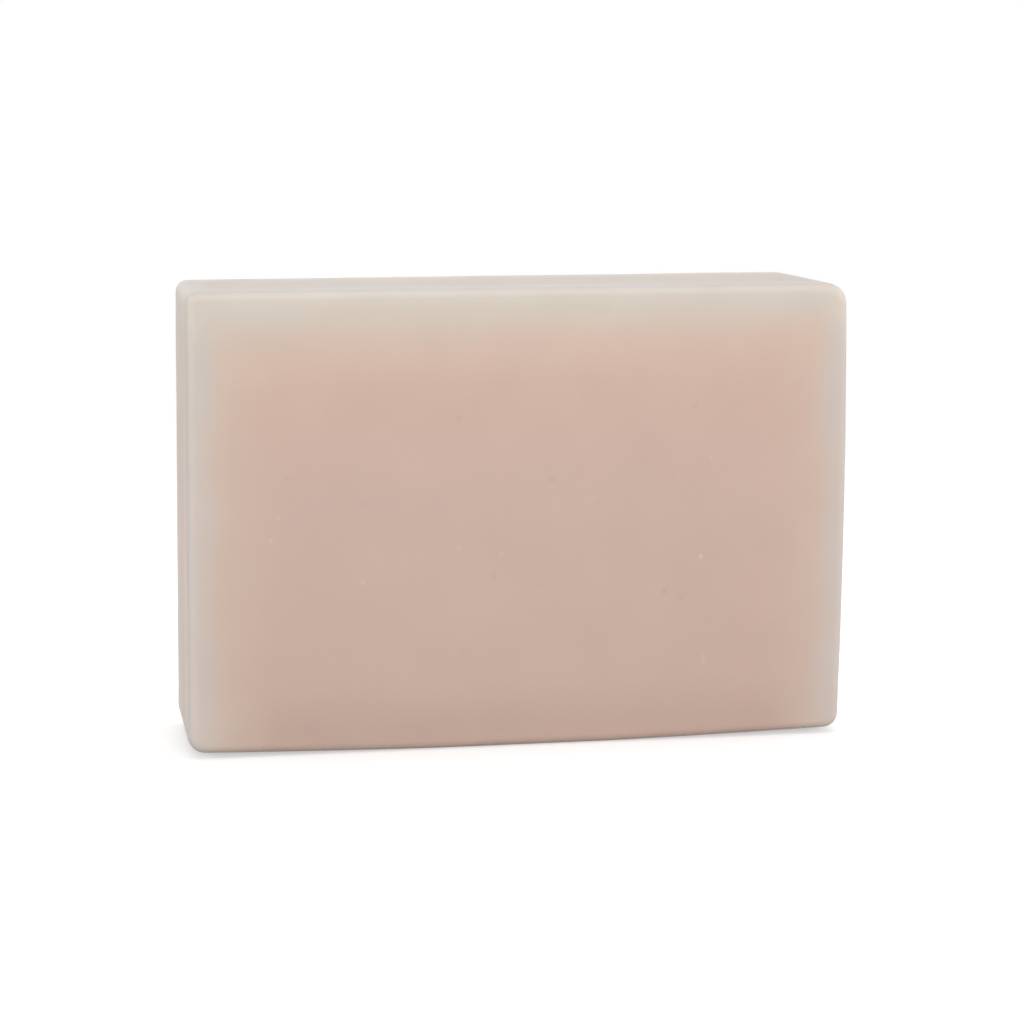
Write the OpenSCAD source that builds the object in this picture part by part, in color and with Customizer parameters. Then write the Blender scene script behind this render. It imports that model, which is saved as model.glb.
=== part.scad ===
// Bar of soap, cast in one piece and standing on one long narrow side.
// Seen from the front, X runs to the right, Y to the back and Z up. All sizes are in millimetres.

/* [Bar] */
// Overall width, from end to end
bar_w = 80; // [60:0.1:110]
// Overall height, from the surface it stands on to the top
bar_h = 55; // [40:0.1:75]
// Thickness, from the front face to the back face
bar_t = 20; // [12:0.1:35]

/* [Draft] */
// How far each end leans in from the front edge to the back face
end_draft = 1.2; // [0:0.1:3]
// How far the top leans down from the front edge to the back face
top_draft = 0.4; // [0:0.1:2]

/* [Sides] */
// How far the right end swells out at half its height
end_swell = 0.3; // [0:0.1:1.5]
// Length of the flat patch under the bar
rest_l = 20; // [10:1:40]
// How far the underside climbs from the flat patch to the corners
rest_rise = 0.55; // [0:0.05:1.5]

/* [Corners] */
// Radius of the top left corner
top_left_r = 1.4; // [0.8:0.1:6]
// Radius of the top right corner
top_right_r = 2.5; // [0.8:0.1:6]
// Radius of the bottom right corner
bottom_right_r = 1.8; // [0.8:0.1:6]
// Radius of the bottom left corner
bottom_left_r = 2.1; // [0.8:0.1:6]

/* [Edges] */
// Radius of the soft edge round the front face
front_edge_r = 1.2; // [0.2:0.1:4]
// Radius of the soft edge round the back face
back_edge_r = 0.8; // [0.2:0.1:4]

/* [Hidden] */

// Steps in each corner's arc, in each edge's round and along each bowed side
corner_steps = 10;
edge_steps = 8;
side_steps = 12;

// The climb starts softly at the flat patch and then runs nearly straight: this power shapes it
climb_power = 1.3;

// A rounded edge leaves the tightest corner at least this radius on the face inside it
least_corner_r = 0.1;
widest_edge_r = min(top_left_r, top_right_r, bottom_right_r, bottom_left_r) - least_corner_r;
front_r = min(front_edge_r, widest_edge_r);
back_r = min(back_edge_r, widest_edge_r);

function mix(a, b, share) = a + (b - a) * share;

// A quarter round about a centre, from one angle to 90 degrees further on
function corner_arc(x, z, r, from) =
    [for (i = [0 : corner_steps])
        let (a = from + 90 * i / corner_steps)
        [x + r * cos(a), z + r * sin(a)]];

// The climbing stretch of the underside, from the flat patch to a corner, as x and height pairs
function climb(x_from, x_to) =
    [for (i = [1 : side_steps - 1])
        let (share = i / side_steps)
        [mix(x_from, x_to, share), rest_rise * pow(share, climb_power)]];

function turned_round(points) = [for (i = [len(points) - 1 : -1 : 0]) points[i]];

function raised(points, by) = [for (p = points) [p.x, p.y + by]];

// The draft starts where the front edge's round ends, so that the bar is widest there
function draft_share(depth) = max(0, depth - front_r) / (bar_t - front_r);

// The outline at some depth behind the front face, against the clock from the bottom left corner.
// inset pulls it inwards, which rounds the edges of the two faces.
function outline(depth, inset) =
    let (
        lean = draft_share(depth),
        left = -bar_w / 2 + end_draft * lean,
        right = bar_w / 2 - end_swell - end_draft * lean,
        top = bar_h - top_draft * lean,
        low = rest_rise,
        patch = rest_l / 2,
        swell_from = low + bottom_right_r,
        swell_to = top - top_right_r
    )
    concat(
        corner_arc(left + bottom_left_r, low + bottom_left_r, bottom_left_r - inset, 180),
        raised(turned_round(climb(-patch, left + bottom_left_r)), inset),
        [[-patch, inset], [patch, inset]],
        raised(climb(patch, right - bottom_right_r), inset),
        corner_arc(right - bottom_right_r, low + bottom_right_r, bottom_right_r - inset, 270),
        [for (i = [1 : side_steps - 1])
            let (share = i / side_steps)
            [right - inset + end_swell * 4 * share * (1 - share), mix(swell_from, swell_to, share)]],
        corner_arc(right - top_right_r, top - top_right_r, top_right_r - inset, 0),
        corner_arc(left + top_left_r, top - top_left_r, top_left_r - inset, 90)
    );

// Where the outline is drawn through the thickness, as pairs of depth and inset.
// It opens round the front edge, runs straight along the sides and closes round the back edge.
stations = concat(
    [for (i = [0 : edge_steps])
        let (a = 90 - 90 * i / edge_steps)
        [front_r * (1 - sin(a)), front_r * (1 - cos(a))]],
    [for (i = [0 : edge_steps])
        let (a = 90 * i / edge_steps)
        [bar_t - back_r * (1 - sin(a)), back_r * (1 - cos(a))]]
);

module soap_bar() {
    rings = [for (s = stations) outline(s[0], s[1])];
    count = len(rings[0]);
    last = len(stations) - 1;
    points = [
        for (k = [0 : last])
            for (p = rings[k])
                [p.x, stations[k][0] - bar_t / 2, p.y]
    ];
    walls = [
        for (k = [0 : last - 1])
            for (i = [0 : count - 1])
                let (
                    near = k * count,
                    far = near + count,
                    next = (i + 1) % count
                )
                each [
                    [near + i, near + next, far + next],
                    [near + i, far + next, far + i]
                ]
    ];
    front_face = [for (i = [count - 1 : -1 : 0]) i];
    back_face = [for (i = [0 : count - 1]) last * count + i];
    color("#cbb1a4")
        polyhedron(points, concat([front_face, back_face], walls), convexity = 2);
}

soap_bar();
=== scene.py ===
# %% [markdown]
# A plain bar of soap
#
# The bar is poured into a mould as a clear, tinted melt and turned out when it has set. It is
# one casting, so it is one mesh with one material, and all the care goes into its form, its
# soft edges and the way light goes into it. This lesson starts from a cube, shapes it with the
# edit-mode operators that one would use by hand, and then builds the material, the floor and
# the light.

import math

import bmesh
import bpy
from mathutils import Matrix, Vector


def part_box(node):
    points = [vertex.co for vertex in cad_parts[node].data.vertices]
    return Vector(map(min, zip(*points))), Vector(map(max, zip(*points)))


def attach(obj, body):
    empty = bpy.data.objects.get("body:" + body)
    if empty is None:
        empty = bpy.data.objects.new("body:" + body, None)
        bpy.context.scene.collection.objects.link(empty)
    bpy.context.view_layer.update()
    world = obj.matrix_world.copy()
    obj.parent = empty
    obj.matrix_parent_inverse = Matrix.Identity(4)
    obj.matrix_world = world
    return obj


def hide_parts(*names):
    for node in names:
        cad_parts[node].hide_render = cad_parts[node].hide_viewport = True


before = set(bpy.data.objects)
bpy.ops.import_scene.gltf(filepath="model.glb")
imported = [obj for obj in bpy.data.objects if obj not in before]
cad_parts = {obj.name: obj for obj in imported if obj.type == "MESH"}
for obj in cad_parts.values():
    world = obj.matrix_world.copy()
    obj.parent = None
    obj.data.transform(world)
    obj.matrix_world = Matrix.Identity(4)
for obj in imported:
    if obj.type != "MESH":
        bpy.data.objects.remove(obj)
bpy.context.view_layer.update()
lowest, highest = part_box("soap_bar")
bar_size = highest - lowest
print("bar in mm:", [round(side * 1000, 2) for side in bar_size])

# %% [markdown]
# Small helpers
#
# Sizes of such a bar are spoken of in millimetres and Blender works in metres, so one function
# turns one into the other. Colours are written as the hex values that one sees on a screen, and
# a renderer needs them linear.

# %% Millimetres, colours and nodes


def mm(value):
    return value / 1000


def linear(hex_colour):
    """Turns an sRGB hex colour such as #ccb2a4 into the linear colour that nodes take."""
    parts = [int(hex_colour[i : i + 2], 16) / 255 for i in (1, 3, 5)]
    low = 0.04045
    return [c / 12.92 if c <= low else ((c + 0.055) / 1.055) ** 2.4 for c in parts] + [1.0]


def live(sockets, name):
    """The socket of that name or number. A node may hold several of one name, with one in use."""
    if isinstance(name, int):
        return sockets[name]
    return next(socket for socket in sockets if socket.name == name and socket.enabled)


def add_node(tree, kind, settings=None, inputs=None):
    """Adds a node, sets its settings and fills or links its inputs. Returns the node."""
    node = tree.nodes.new(kind)
    for name, value in (settings or {}).items():
        setattr(node, name, value)
    for name, value in (inputs or {}).items():
        if isinstance(value, bpy.types.NodeSocket):
            tree.links.new(value, live(node.inputs, name))
        else:
            live(node.inputs, name).default_value = value
    return node


print("soap colour in linear values:", [round(c, 3) for c in linear("#ccb2a4")])

# %% [markdown]
# The camera
#
# The bar is seen a little from the left and from above, through a long lens, so that its top and
# its left end show as narrow slivers. The place and the angles come from fitting the outline of
# this bar to the picture that it is built from.

# %% A long lens, a little to the left and above
camera_at_mm = (-90.52, -411.72, 96.44)
turned_right_deg = 12.502
tipped_down_deg = 9.385
rolled_deg = 0.453
lens_mm = 124.01

camera = bpy.data.objects.new("camera", bpy.data.cameras.new("camera"))
bpy.context.scene.collection.objects.link(camera)
camera.data.lens = lens_mm
camera.data.sensor_width = 36
camera.data.clip_start = 0.01
camera.matrix_world = (
    Matrix.Translation([mm(side) for side in camera_at_mm])
    @ Matrix.Rotation(math.radians(-turned_right_deg), 4, "Z")
    @ Matrix.Rotation(math.radians(90 - tipped_down_deg), 4, "X")
    @ Matrix.Rotation(math.radians(rolled_deg), 4, "Z")
)
bpy.context.scene.camera = camera
print("camera distance in mm:", round(Vector(camera_at_mm).length))

# %% [markdown]
# The block
#
# The form is a block with a different small radius at each corner, ends that lean in a little
# towards the back so that it leaves its mould, an underside that only touches in the middle, and
# a right end that swells slightly. A cube of the bar's size is the start. Everything is selected
# by its place, as one would pick it in the viewport, so a helper does that, and two more cut the
# mesh evenly.

# %% Picking by place
near = mm(0.01)


def pick(kind, test):
    """Selects the vertices, edges or faces of the open mesh whose corners all pass the test.

    Nothing else stays selected. Returns how many were found.
    """
    bpy.ops.mesh.select_mode(type=kind)
    bpy.ops.mesh.select_all(action="DESELECT")
    mesh = bmesh.from_edit_mesh(bpy.context.edit_object.data)
    items = {"VERT": mesh.verts, "EDGE": mesh.edges, "FACE": mesh.faces}[kind]
    found = 0
    for item in items:
        corners = [item] if kind == "VERT" else item.verts
        if all(test(corner.co) for corner in corners):
            item.select_set(True)
            found += 1
    mesh.select_flush_mode()
    bmesh.update_edit_mesh(bpy.context.edit_object.data)
    return found


def cut_across(axis, places):
    """Cuts the whole open mesh with planes across an axis, one at each place along it."""
    normal = [1 if i == axis else 0 for i in range(3)]
    for place in places:
        bpy.ops.mesh.select_all(action="SELECT")
        bpy.ops.mesh.bisect(plane_co=[n * place for n in normal], plane_no=normal)


def steps_between(start, end, count):
    """The places of count - 1 even cuts between a start and an end."""
    return [start + (end - start) * i / count for i in range(1, count)]


print("places are the same within mm:", near * 1000)

# %% A block of the bar's size
end_swell = mm(0.3)
rest_rise = mm(0.55)
left, front, foot = lowest.x, lowest.y, lowest.z + rest_rise
right, back, top = highest.x - end_swell, highest.y, highest.z
middle = Vector(((left + right) / 2, (front + back) / 2, (foot + top) / 2))

bpy.ops.object.select_all(action="DESELECT")
bpy.ops.mesh.primitive_cube_add(
    size=1,
    location=middle,
    scale=(right - left, back - front, top - foot),
)
bar = bpy.context.active_object
bar.name = "cast_soap"
bpy.ops.object.transform_apply(location=True, rotation=True, scale=True)
print("block in mm:", [round(side * 1000, 2) for side in bar.dimensions])

# %% Round the four corners, each with its own radius
corner_steps = 8
corner_radii = {
    (left, top): mm(1.4),
    (right, top): mm(2.5),
    (right, foot): mm(1.8),
    (left, foot): mm(2.1),
}
bpy.ops.object.mode_set(mode="EDIT")
for (x, z), radius in corner_radii.items():
    pick("EDGE", lambda co: abs(co.x - x) < near and abs(co.z - z) < near)
    bpy.ops.mesh.bevel(offset=radius, segments=corner_steps, profile=0.5, affect="EDGES")
print("faces after the corners:", len(bmesh.from_edit_mesh(bar.data).faces))

# %% Round the front edge, lean the ends and the top in, and round the back edge
front_edge_r = mm(1.2)
back_edge_r = mm(0.8)
edge_steps = 6
end_draft = mm(1.2)
top_draft = mm(0.4)

pick("EDGE", lambda co: co.y < front + near)
bpy.ops.mesh.bevel(offset=front_edge_r, segments=edge_steps, profile=0.5, affect="EDGES")
for side in (-1, 1):
    pick("VERT", lambda co: co.y > back - near and co.x * side > 0)
    bpy.ops.transform.translate(value=(-side * end_draft, 0, 0))
pick("VERT", lambda co: co.y > back - near and co.z > middle.z)
bpy.ops.transform.translate(value=(0, 0, -top_draft))
pick("EDGE", lambda co: co.y > back - near)
bpy.ops.mesh.bevel(offset=back_edge_r, segments=edge_steps, profile=0.5, affect="EDGES")
print("faces after the edges:", len(bmesh.from_edit_mesh(bar.data).faces))

# %% Cut the faces into cells of about a millimetre
rest_half = mm(10)
climb_end = right - corner_radii[right, foot]
climb_cells = 24
rest_cells = 17
height_cells = 44
depth_cells = 16
swell_from = foot + corner_radii[right, foot]
swell_to = top - corner_radii[right, top]

columns = (
    steps_between(-climb_end, -rest_half, climb_cells)
    + [-rest_half]
    + steps_between(-rest_half, rest_half, rest_cells)
    + [rest_half]
    + steps_between(rest_half, climb_end, climb_cells)
)
rows = steps_between(swell_from, swell_to, height_cells)
slices = steps_between(front + front_edge_r, back - back_edge_r, depth_cells)
cut_across(0, columns)
cut_across(2, rows)
cut_across(1, slices)
print("faces after the cuts:", len(bmesh.from_edit_mesh(bar.data).faces))

# %% Lower the middle of the underside and swell the right end
climb_power = 1.3
edge_reach = front_edge_r + near

for x in columns:
    share = max(0, (abs(x) - rest_half) / (climb_end - rest_half))
    drop = rest_rise * (1 - share**climb_power)
    pick("VERT", lambda co: abs(co.x - x) < near and co.z < foot + edge_reach)
    bpy.ops.transform.translate(value=(0, 0, -drop))
for z in rows:
    share = (z - swell_from) / (swell_to - swell_from)
    swell = end_swell * 4 * share * (1 - share)
    pick("VERT", lambda co: abs(co.z - z) < near and co.x > right - end_draft - edge_reach)
    bpy.ops.transform.translate(value=(swell, 0, 0))
bpy.ops.object.mode_set(mode="OBJECT")
print("shaped bar in mm:", [round(side * 1000, 2) for side in bar.dimensions])

# %% [markdown]
# Pits and nicks
#
# A cast face is never quite clean. Small bubbles that sat at the mould's wall leave round pits
# about a millimetre wide, and handling leaves nicks and a short scratch where the skin is
# broken and looks pale. A bump map could draw them, but a real dent catches the light from any
# side and stays in the mesh. So the faces round each mark are divided twice, which leaves the
# rest of the bar light, and its middle is pushed in with proportional editing.

# %% Where the marks are
# Each is a place across and up in millimetres, and how strong the mark is
pits = [
    (3.4, 32.1, 1.0),
    (17.3, 18.3, 1.2),
    (19.4, 17.3, 0.7),
    (20.8, 40.6, 0.9),
    (-28.3, 33.1, 0.7),
    (-19.3, 30.0, 0.6),
    (9.1, 29.3, 0.6),
    (12.3, 22.8, 0.5),
    (25.8, 29.9, 0.5),
    (18.2, 32.6, 0.5),
    (-7.9, 39.7, 0.8),
    (1.7, 19.5, 0.5),
    (-3.5, 20.7, 0.8),
    (-21.5, 21.3, 0.5),
    (-7.3, 11.9, 0.6),
    (33.6, 43.0, 0.6),
]
nicks = [
    (21.8, 22.4, 2.0),
    (-2.7, 23.4, 0.7),
    (-7.9, 24.4, 0.8),
    (-29.3, 28.5, 0.8),
    (-30.2, 25.8, 1.1),
    (-19.3, 20.5, 1.0),
    (22.9, 34.3, 0.7),
    (22.3, 10.2, 0.6),
    (22.3, 9.8, 0.7),
    (22.3, 9.4, 0.6),
]
pit_half, pit_depth = mm(0.6), mm(0.11)
nick_half, nick_depth = mm(0.36), mm(0.04)


def on_the_front(across, up):
    """The place on the front face that lies so many millimetres across and up."""
    return Vector((mm(across), front, mm(up)))


print(len(pits), "pits and", len(nicks), "nicks")

# %% Divide the faces round each mark
# Faces inside the first reach are divided once, and those inside the second once more
dividing_reaches = (mm(2.0), mm(1.1))
mark_places = [on_the_front(across, up) for across, up, strength in pits + nicks]


def near_a_mark(co, reach):
    return co.y < front + near and any((co - place).length < reach for place in mark_places)


bpy.ops.object.mode_set(mode="EDIT")
for reach in dividing_reaches:
    found = pick("FACE", lambda co: near_a_mark(co, reach))
    bpy.ops.mesh.subdivide(number_cuts=1)
    print("faces divided:", found)

# %% Push each mark in
# The points within a quarter of a millimetre or so of the middle go in whole, and their
# neighbours follow softly
whole_reach = mm(0.22)
for marks, half, depth in ((pits, pit_half, pit_depth), (nicks, nick_half, nick_depth)):
    for across, up, strength in marks:
        place = on_the_front(across, up)
        pick("VERT", lambda co: (co - place).length < whole_reach)
        bpy.ops.transform.translate(
            value=(0, depth * strength, 0),
            use_proportional_edit=True,
            proportional_edit_falloff="SMOOTH",
            proportional_size=half,
        )
bpy.ops.object.mode_set(mode="OBJECT")
deepest_pit = pit_depth * max(strength for across, up, strength in pits)
deepest_nick = nick_depth * max(strength for across, up, strength in nicks)
print("deepest pit and nick in mm:", round(deepest_pit * 1000, 3), round(deepest_nick * 1000, 3))

# %% Subdivide once and shade it smooth
smoother = bar.modifiers.new("smoother", "SUBSURF")
smoother.levels = 1
smoother.render_levels = 1
bpy.ops.object.modifier_apply(modifier=smoother.name)
bpy.ops.object.shade_smooth()
print("triangles:", sum(len(face.vertices) - 2 for face in bar.data.polygons))

# %% [markdown]
# An uneven skin
#
# Soap shrinks a little as it sets and is wiped and handled after that, so its faces are never as
# flat as the mould. The highlights along the edges waver by it. Displacing the mesh along its
# normals by a soft cloud of a few hundredths of a millimetre gives that. It only goes inwards, so
# the bar keeps its size, and it fades towards the foot, so that the bar still stands flat.

# %% Dent the skin softly
skin_wave = mm(11)
skin_depth = mm(0.08)
still_foot = mm(5)

loose = bar.vertex_groups.new(name="loose_skin")
for vertex in bar.data.vertices:
    loose.add([vertex.index], min(1, max(0, vertex.co.z / still_foot)), "REPLACE")
waves = bpy.data.textures.new("soft_waves", "CLOUDS")
waves.noise_scale = skin_wave
waves.noise_depth = 1
dents = bar.modifiers.new("dents", "DISPLACE")
dents.texture = waves
dents.texture_coords = "LOCAL"
dents.direction = "NORMAL"
dents.mid_level = 1
dents.strength = skin_depth
dents.vertex_group = loose.name
bpy.ops.object.modifier_apply(modifier=dents.name)
print("bar in mm:", [round(side * 1000, 2) for side in bar.dimensions])

# %% Note where the skin is paler or darker
# The soap under a nick looks pale, and a pit is painted darker, as painted shade in its hollow.
# The haze holds faint clouds, pale ones mostly left of the middle, where the melt set last. The
# pale clouds near the ends also paint light that comes in by the ends, and the darker clouds near
# the corners and at the foot are painted shade. Each is a place in millimetres, with the front
# face at -10 along Y, half a width and a tone. Light reaches a rounded edge from two sides, so all
# edges but those of the foot are painted a little paler than the faces beside them, a painted
# highlight.
haze_and_painted_light = [
    ((-8.5, -10, 34.0), 4.0, 0.01),
    ((-6.5, -10, 28.5), 4.0, 0.02),
    ((0.5, -10, 27.5), 1.6, 0.01),
    ((-3.0, -10, 37.5), 4.0, 0.01),
    ((-10.0, -10, 19.0), 10.0, 0.015),
    ((-19.0, -10, 37.5), 4.0, 0.01),
    ((-33.5, -10, 47.0), 5.0, 0.02),
    ((-35.0, -10, 14.0), 6.0, 0.02),
    ((37.0, -10, 23.0), 6.0, 0.015),
    ((30.0, -10, 47.0), 5.0, -0.02),
    ((-39.5, -9, 54.0), 6.0, -0.045),
    ((-36.0, 4, 55.0), 9.0, -0.04),
    ((-39.0, 8, 3.0), 5.0, -0.06),
    ((-35.5, -10, 1.0), 4.5, -0.035),
    ((38.5, -10, 4.0), 6.0, -0.03),
]
# The pits' tone is painted shade in their hollows and the edges' tone is a painted highlight; the
# nicks' tone is the pale broken skin.
pit_painted_shade, nick_tone, edge_painted_light = -0.065, 0.14, 0.03

# The largest part of a normal halfway round an edge, and how far one at the foot points down
halfway_round = math.sqrt(0.5)
foot_facing = -0.1

tone_and_painted_light = bar.data.attributes.new("tone_and_painted_light", "FLOAT", "POINT")
patches = [(on_the_front(x, z), pit_half, pit_painted_shade * strength) for x, z, strength in pits]
patches += [(on_the_front(x, z), nick_half, nick_tone * strength) for x, z, strength in nicks]
patches += [(Vector(place) * mm(1), mm(half), strength) for place, half, strength in haze_and_painted_light]
changed = 0
for vertex in bar.data.vertices:
    if vertex.normal.z > foot_facing:
        flatness = max(abs(side) for side in vertex.normal)
        roundness = (1 - flatness) / (1 - halfway_round)
        tone_and_painted_light.data[vertex.index].value = edge_painted_light * math.sqrt(min(1, max(0, roundness)))
    for place, half, strength in patches:
        share = 1 - ((vertex.co - place).length / half) ** 2
        if share > 0:
            tone_and_painted_light.data[vertex.index].value += strength * share**2
            changed += 1
print("points with a tone of their own:", changed)

# %% Note which points lie on an end or on the top
# The light in the soap comes in by the sides next to a face, so the soap is told which face is
# which. The shares rise softly over the last part of each rounded edge.
edge_of_face, well_on_face = 0.8, 0.98


def soft_share(value, start, end):
    """Rises softly from 0 at the start to 1 at the end."""
    share = min(1, max(0, (value - start) / (end - start)))
    return share * share * (3 - 2 * share)


def to_an_end(normal):
    return abs(normal.x)


def to_the_top(normal):
    return normal.z


for name, facing in (("on_end", to_an_end), ("on_top", to_the_top)):
    face_share = bar.data.attributes.new(name, "FLOAT", "POINT")
    for vertex in bar.data.vertices:
        value = soft_share(facing(vertex.normal), edge_of_face, well_on_face)
        face_share.data[vertex.index].value = value
    print("points wholly", name, sum(point.value == 1 for point in face_share.data))

# %% The bar rides on the body and stands for the measured solid
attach(bar, "root")
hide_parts("soap_bar")
print(bar.name, "stands for soap_bar")

# %% [markdown]
# Poured soap
#
# Poured soap sets from a clear melt that holds a little dye and a haze of tiny crystals. Light
# goes some millimetres in, scatters and comes out again. Near the top and the ends it finds a
# short way out, so the rims look pale and milky. A little further in, the light that came in by
# the side has passed some dye and looks tan, and deep inside the bar is pinkish. No light enters
# by the side that it stands on, so it darkens towards its foot. Subsurface scattering alone gives
# this only in the renderer that has it, so the wide changes of colour are painted by depth and
# height, and scattering adds the soft millimetre or two at each edge.

# %% The soap and the place of each point
soap = bpy.data.materials.new("poured_translucent_soap")
soap.use_nodes = True
tree = soap.node_tree
tree.nodes.clear()
spot = add_node(tree, "ShaderNodeTexCoord").outputs["Object"]
print("material:", soap.name)

# %% Let the soft bands waver
# The haze is uneven, so the edge of each pale band wanders by up to a millimetre
waver_size = mm(12)
waver_reach = mm(3)
noise_middle = (0.5, 0.5, 0.5)

waver = add_node(
    tree, "ShaderNodeTexNoise", inputs={"Vector": spot, "Scale": 1 / waver_size, "Detail": 1.0}
)
around_zero = add_node(
    tree,
    "ShaderNodeVectorMath",
    {"operation": "SUBTRACT"},
    {0: waver.outputs["Color"], 1: noise_middle},
)
wavering = add_node(
    tree,
    "ShaderNodeVectorMath",
    {"operation": "MULTIPLY_ADD"},
    {0: around_zero.outputs[0], 1: (waver_reach, waver_reach, waver_reach), 2: spot},
)
axes = add_node(tree, "ShaderNodeSeparateXYZ", inputs={0: spot})
wavering_axes = add_node(tree, "ShaderNodeSeparateXYZ", inputs={0: wavering.outputs[0]})
print("the bands waver in steps of about mm:", waver_size * 1000)

# %% How far the light has come through the soap
end_share = add_node(tree, "ShaderNodeAttribute", {"attribute_name": "on_end"}).outputs["Fac"]
top_share = add_node(tree, "ShaderNodeAttribute", {"attribute_name": "on_top"}).outputs["Fac"]


def behind(axis, start, end):
    """A socket that rises softly from 0 at one place along an axis to 1 at another."""
    rise = add_node(
        tree,
        "ShaderNodeMapRange",
        {"interpolation_type": "SMOOTHSTEP"},
        {"Value": wavering_axes.outputs[axis], "From Min": start, "From Max": end},
    )
    return rise.outputs[0]


def times(one, other):
    product = add_node(tree, "ShaderNodeMath", {"operation": "MULTIPLY"}, {0: one, 1: other})
    return product.outputs[0]


def blend(share, one, other):
    """A socket that is one where the share is 0 and the other where it is 1."""
    node = add_node(
        tree, "ShaderNodeMix", {"data_type": "FLOAT"}, {"Factor": share, "A": one, "B": other}
    )
    return live(node.outputs, "Result")


def depth_behind(top_reach, left_reach, right_reach, face_reach):
    """A socket that rises from 0 at the edges of a face to 1 beyond the reach of each side's light.

    The broad faces are lit through the top and the ends, the ends through the top and the broad
    faces, and the top through the ends and the broad faces. No light comes up from below.
    """
    below = behind("Z", highest.z, highest.z - top_reach)
    inside_ends = times(
        behind("X", lowest.x, lowest.x + left_reach),
        behind("X", highest.x, highest.x - right_reach),
    )
    inside_faces = times(
        behind("Y", lowest.y, lowest.y + face_reach),
        behind("Y", highest.y, highest.y - face_reach),
    )
    broad_or_end = blend(end_share, times(below, inside_ends), times(below, inside_faces))
    return blend(top_share, broad_or_end, times(inside_ends, inside_faces))


past_pale = depth_behind(mm(8), mm(5.5), mm(5.5), mm(7))
past_tan = depth_behind(mm(16), mm(12), mm(11.5), mm(20))
print("nodes that find the depth:", len(tree.nodes))

# %% Colours from the foot to the top


def colours_by_height(stops):
    """A socket with a colour that changes with height. The stops are heights and hex colours."""
    height_share = add_node(
        tree,
        "ShaderNodeMapRange",
        inputs={"Value": axes.outputs["Z"], "From Max": highest.z},
    )
    ramp = add_node(tree, "ShaderNodeValToRGB", inputs={0: height_share.outputs[0]})
    elements = ramp.color_ramp.elements
    elements.remove(elements[1])
    elements[0].color = linear(stops[0][1])
    for height, colour in stops[1:]:
        elements.new(height / highest.z).color = linear(colour)
    return ramp.outputs["Color"]


# The deep pink is darker at the foot, as painted shade where no light comes in from below, and
# lighter just under the top, as painted light from above. The pale rim and the tan ring paint the
# light that comes out near the top and the ends.
pink_inside = colours_by_height(
    [
        (mm(0), "#c1a79a"),
        (mm(3), "#bda599"),
        (mm(8), "#c4ac9f"),
        (mm(30), "#c7afa3"),
        (mm(44), "#ccb1a3"),
        (mm(51), "#d7b9aa"),
        (mm(55), "#ccb9ad"),
    ]
)
tan_ring = colours_by_height(
    [
        (mm(0), "#cdbcac"),
        (mm(8), "#c8b4a6"),
        (mm(28), "#ccb7a8"),
        (mm(51), "#cfbcac"),
        (mm(55), "#bab1a9"),
    ]
)
pale_rim = colours_by_height(
    [
        (mm(0), "#c7bdb6"),
        (mm(28), "#c8beb7"),
        (mm(48), "#cac1ba"),
        (mm(51.5), "#d3cac0"),
        (mm(53.5), "#d4cabf"),
        (mm(54.3), "#cdc5bc"),
        (mm(55), "#c3bbb5"),
    ]
)

inner = add_node(
    tree,
    "ShaderNodeMix",
    {"data_type": "RGBA"},
    {"Factor": past_tan, "A": tan_ring, "B": pink_inside},
)
body = add_node(
    tree,
    "ShaderNodeMix",
    {"data_type": "RGBA"},
    {"Factor": past_pale, "A": pale_rim, "B": live(inner.outputs, "Result")},
)
print("nodes with the three colours:", len(tree.nodes))

# %% A little more dye towards the right end
# Dye takes out a part of the green and the blue light, and rises between two places along X
dyed_from, dyed_to = mm(8), mm(34)
dye_takes = (0.0, 0.012, 0.013)
all_light = (1.0, 1.0, 1.0)

dyed = add_node(
    tree,
    "ShaderNodeMapRange",
    {"interpolation_type": "SMOOTHSTEP"},
    {"Value": wavering_axes.outputs["X"], "From Min": dyed_from, "From Max": dyed_to},
)
taken = add_node(
    tree, "ShaderNodeVectorMath", {"operation": "SCALE"}, {0: dye_takes, "Scale": dyed.outputs[0]}
)
left_over = add_node(
    tree,
    "ShaderNodeVectorMath",
    {"operation": "SUBTRACT"},
    {0: all_light, 1: taken.outputs[0]},
)
dyed_body = add_node(
    tree,
    "ShaderNodeVectorMath",
    {"operation": "MULTIPLY"},
    {0: live(body.outputs, "Result"), 1: left_over.outputs[0]},
)
print("the added dye takes out at most:", dye_takes)

# %% Haze and marks
# Crystals gather in soft clouds about 9 mm across, two parts in a hundred paler or darker where
# the noise comes to the ends of its usual range
haze_size = mm(9)
haze_range = 0.02
noise_low, noise_high = 0.25, 0.75

haze = add_node(
    tree,
    "ShaderNodeTexNoise",
    inputs={"Vector": spot, "Scale": 1 / haze_size, "Detail": 3.0, "Roughness": 0.5},
)
haze_level = add_node(
    tree,
    "ShaderNodeMapRange",
    inputs={
        "Value": haze.outputs[0],
        "From Min": noise_low,
        "From Max": noise_high,
        "To Min": 1 - haze_range,
        "To Max": 1 + haze_range,
    },
)
# This attribute holds the marks and also painted light: shade painted in the pits, the corners and
# the foot, and a painted highlight on the edges.
marks_and_painted_light = add_node(tree, "ShaderNodeAttribute", {"attribute_name": "tone_and_painted_light"})
level_with_painted_light = add_node(
    tree,
    "ShaderNodeMath",
    {"operation": "ADD"},
    {0: haze_level.outputs[0], 1: marks_and_painted_light.outputs["Fac"]},
)

# Tiny air bubbles lie in the soap about 2 mm apart, and those that reach the skin show as dots
bubble_spacing = mm(2)
bubble_radius = mm(0.34)
bubble_tone = -0.03

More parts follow.
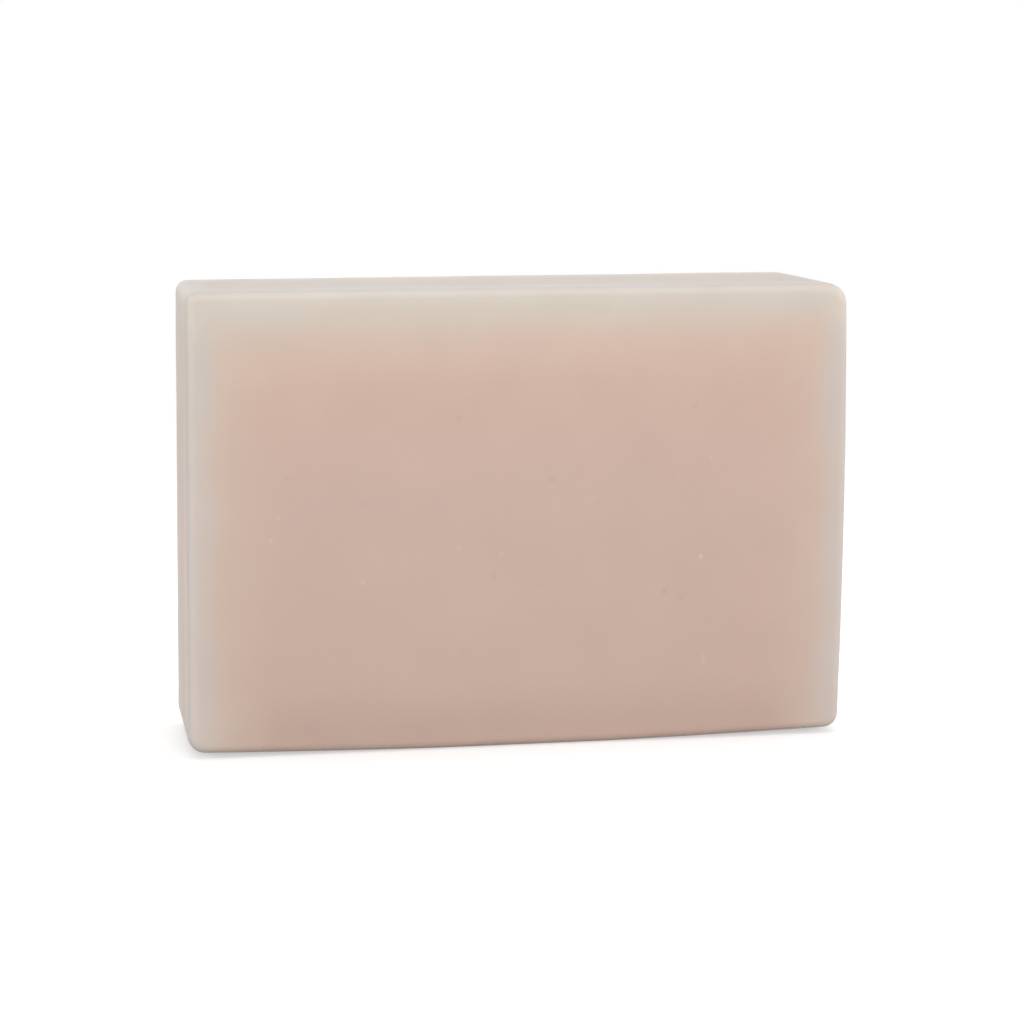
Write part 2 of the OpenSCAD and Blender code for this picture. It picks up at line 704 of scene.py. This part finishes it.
to_bubble = add_node(
    tree, "ShaderNodeTexVoronoi", inputs={"Vector": spot, "Scale": 1 / bubble_spacing}
)
bubble = add_node(
    tree,
    "ShaderNodeMapRange",
    {"interpolation_type": "SMOOTHSTEP"},
    {
        "Value": to_bubble.outputs["Distance"],
        "From Min": bubble_radius / bubble_spacing,
        "From Max": 0.0,
    },
)
level = add_node(
    tree,
    "ShaderNodeMath",
    {"operation": "MULTIPLY_ADD"},
    {0: bubble.outputs[0], 1: bubble_tone, 2: level_with_painted_light.outputs[0]},
)
colour_with_painted_light = add_node(
    tree,
    "ShaderNodeVectorMath",
    {"operation": "SCALE"},
    {0: dyed_body.outputs[0], "Scale": level.outputs[0]},
)
print("bubbles in mm across and apart:", 2 * bubble_radius * 1000, bubble_spacing * 1000)

# %% A waxy skin
# The skin has a fine waxy grain, half a millimetre from bump to bump and a few microns high, and
# it is a little glossier where hands have polished it, in patches of some millimetres.
grain_size = mm(0.5)
grain_height = mm(0.006)
polish_size = mm(7)
polished, dull = 0.38, 0.52

grain = add_node(
    tree, "ShaderNodeTexNoise", inputs={"Vector": spot, "Scale": 1 / grain_size, "Detail": 2.0}
)
skin_height = add_node(
    tree,
    "ShaderNodeMath",
    {"operation": "SUBTRACT"},
    {0: grain.outputs[0], 1: bubble.outputs[0]},
)
bumps = add_node(
    tree, "ShaderNodeBump", inputs={"Distance": grain_height, "Height": skin_height.outputs[0]}
)
polish = add_node(
    tree, "ShaderNodeTexNoise", inputs={"Vector": spot, "Scale": 1 / polish_size, "Detail": 2.0}
)
roughness = add_node(
    tree,
    "ShaderNodeMapRange",
    inputs={"Value": polish.outputs[0], "To Min": polished, "To Max": dull},
)
print("roughness from", polished, "to", dull)

# %% The soap's shader
shader = add_node(
    tree,
    "ShaderNodeBsdfPrincipled",
    {"subsurface_method": "RANDOM_WALK"},
    {
        "Base Color": colour_with_painted_light.outputs[0],
        "Roughness": roughness.outputs[0],
        "Normal": bumps.outputs[0],
        "IOR": 1.47,
        "Specular IOR Level": 0.3,
        "Subsurface Weight": 0.5,
        "Subsurface Radius": (1.0, 1.0, 1.0),
        "Subsurface Scale": mm(1.5),
    },
)
add_node(tree, "ShaderNodeOutputMaterial", inputs={"Surface": shader.outputs["BSDF"]})
bar.data.materials.clear()
bar.data.materials.append(soap)
print("nodes in the soap:", len(tree.nodes))

# %% [markdown]
# The floor and the surroundings
#
# Soap like this is shown on white card. A floor that is lit until it looks white would throw so
# much light up that the bar loses its darker foot. So the card has two sides: rays that light the
# bar meet a light grey, and rays that are seen, straight on or in a reflection, meet a paler card
# that glows a little. It keeps the bar's shadow, and further out it turns into plain white, as
# the surroundings do, so that no horizon shows. Mixing by the kind of ray does this in one
# material.

# %% Is this ray seen?


def seen_ray(tree):
    """A socket that is 1 for rays that are seen, mirrored and clear ones too, and else 0."""
    path = add_node(tree, "ShaderNodeLightPath")
    seen = path.outputs["Is Camera Ray"]
    for kind in ("Is Glossy Ray", "Is Transmission Ray"):
        either = {0: seen, 1: path.outputs[kind]}
        seen = add_node(tree, "ShaderNodeMath", {"operation": "MAXIMUM"}, either).outputs[0]
    return seen


# %% White card that keeps the shadow
# The card starts to turn plain white 9 cm from its middle and is white at 26 cm
card_side = 6
white_from, white_to = 0.09, 0.26
card_glow = 0.46
plain_white = 1.0

bpy.ops.object.select_all(action="DESELECT")
bpy.ops.mesh.primitive_plane_add(size=card_side, location=(0, 0, 0))
floor = bpy.context.active_object
floor.name = "floor"

card = bpy.data.materials.new("white_card")
card.use_nodes = True
tree = card.node_tree
tree.nodes.clear()

card_spot = add_node(tree, "ShaderNodeTexCoord").outputs["Object"]
distance = add_node(tree, "ShaderNodeVectorMath", {"operation": "LENGTH"}, {0: card_spot})
far_off = add_node(
    tree,
    "ShaderNodeMapRange",
    {"interpolation_type": "SMOOTHSTEP"},
    {"Value": distance.outputs["Value"], "From Min": white_from, "From Max": white_to},
)
pale_card = add_node(tree, "ShaderNodeBsdfDiffuse", inputs={"Color": linear("#d0d0d0")})
glow = add_node(tree, "ShaderNodeEmission", inputs={"Strength": card_glow})
near_side = add_node(
    tree, "ShaderNodeAddShader", inputs={0: pale_card.outputs[0], 1: glow.outputs[0]}
)
far_side = add_node(tree, "ShaderNodeEmission", inputs={"Strength": plain_white})
seen_card = add_node(
    tree,
    "ShaderNodeMixShader",
    inputs={0: far_off.outputs[0], 1: near_side.outputs[0], 2: far_side.outputs[0]},
)
grey_card = add_node(tree, "ShaderNodeBsdfDiffuse", inputs={"Color": linear("#a8a8a8")})
either_card = add_node(
    tree,
    "ShaderNodeMixShader",
    inputs={0: seen_ray(tree), 1: grey_card.outputs[0], 2: seen_card.outputs[0]},
)
add_node(tree, "ShaderNodeOutputMaterial", inputs={"Surface": either_card.outputs[0]})
floor.data.materials.append(card)
print("card in metres:", [round(side, 2) for side in floor.dimensions])

# %% White surroundings that light the bar at a plain level
room_light = 0.48

world = bpy.data.worlds.new("studio")
bpy.context.scene.world = world
world.use_nodes = True
tree = world.node_tree
tree.nodes.clear()
room, white = [
    add_node(
        tree, "ShaderNodeBackground", inputs={"Color": linear("#ffffff"), "Strength": strength}
    )
    for strength in (room_light, plain_white)
]
either_room = add_node(
    tree,
    "ShaderNodeMixShader",
    inputs={0: seen_ray(tree), 1: room.outputs[0], 2: white.outputs[0]},
)
add_node(tree, "ShaderNodeOutputWorld", inputs={"Surface": either_room.outputs[0]})
print("light of the room:", room_light)

# %% [markdown]
# The lamps
#
# A large soft lamp in front, near the camera's height, gives the plain level at which a colour
# looks as it is written. One behind lights the back as plainly, and weak ones light the ends and
# the top. A low lamp opposite the camera would glare on a face that is seen nearly edge on, so
# only the lamp above shows in the satin skin, as a soft light along the upper edges, and the rest
# of the sheen comes from the white surroundings.

# %% Soft lamps


def softbox(name, place, side, power, shows_in_skin=False):
    """A square lamp that looks at the middle of the bar. Place and side are in metres."""
    lamp = bpy.data.objects.new(name, bpy.data.lights.new(name, "AREA"))
    bpy.context.scene.collection.objects.link(lamp)
    lamp.data.shape = "SQUARE"
    lamp.data.size = side
    lamp.data.energy = power
    lamp.visible_glossy = shows_in_skin
    lamp.location = place
    aim = middle - Vector(place)
    lamp.rotation_euler = aim.to_track_quat("-Z", "Y").to_euler()
    print(name, "is", round(aim.length, 2), "m from the bar")


softbox("lamp_front", (0.0, -1.25, 0.25), 0.8, 13.2)
softbox("lamp_back", (0.0, 1.25, 0.35), 0.8, 12)
softbox("lamp_above", (0.1, 0.0, 1.2), 0.5, 3, shows_in_skin=True)
softbox("lamp_left", (-1.1, 0.05, 0.35), 0.6, 3.4)
softbox("lamp_right", (1.1, 0.05, 0.35), 0.6, 3.2)

# %% Plain colours
bpy.context.scene.view_settings.view_transform = "Standard"
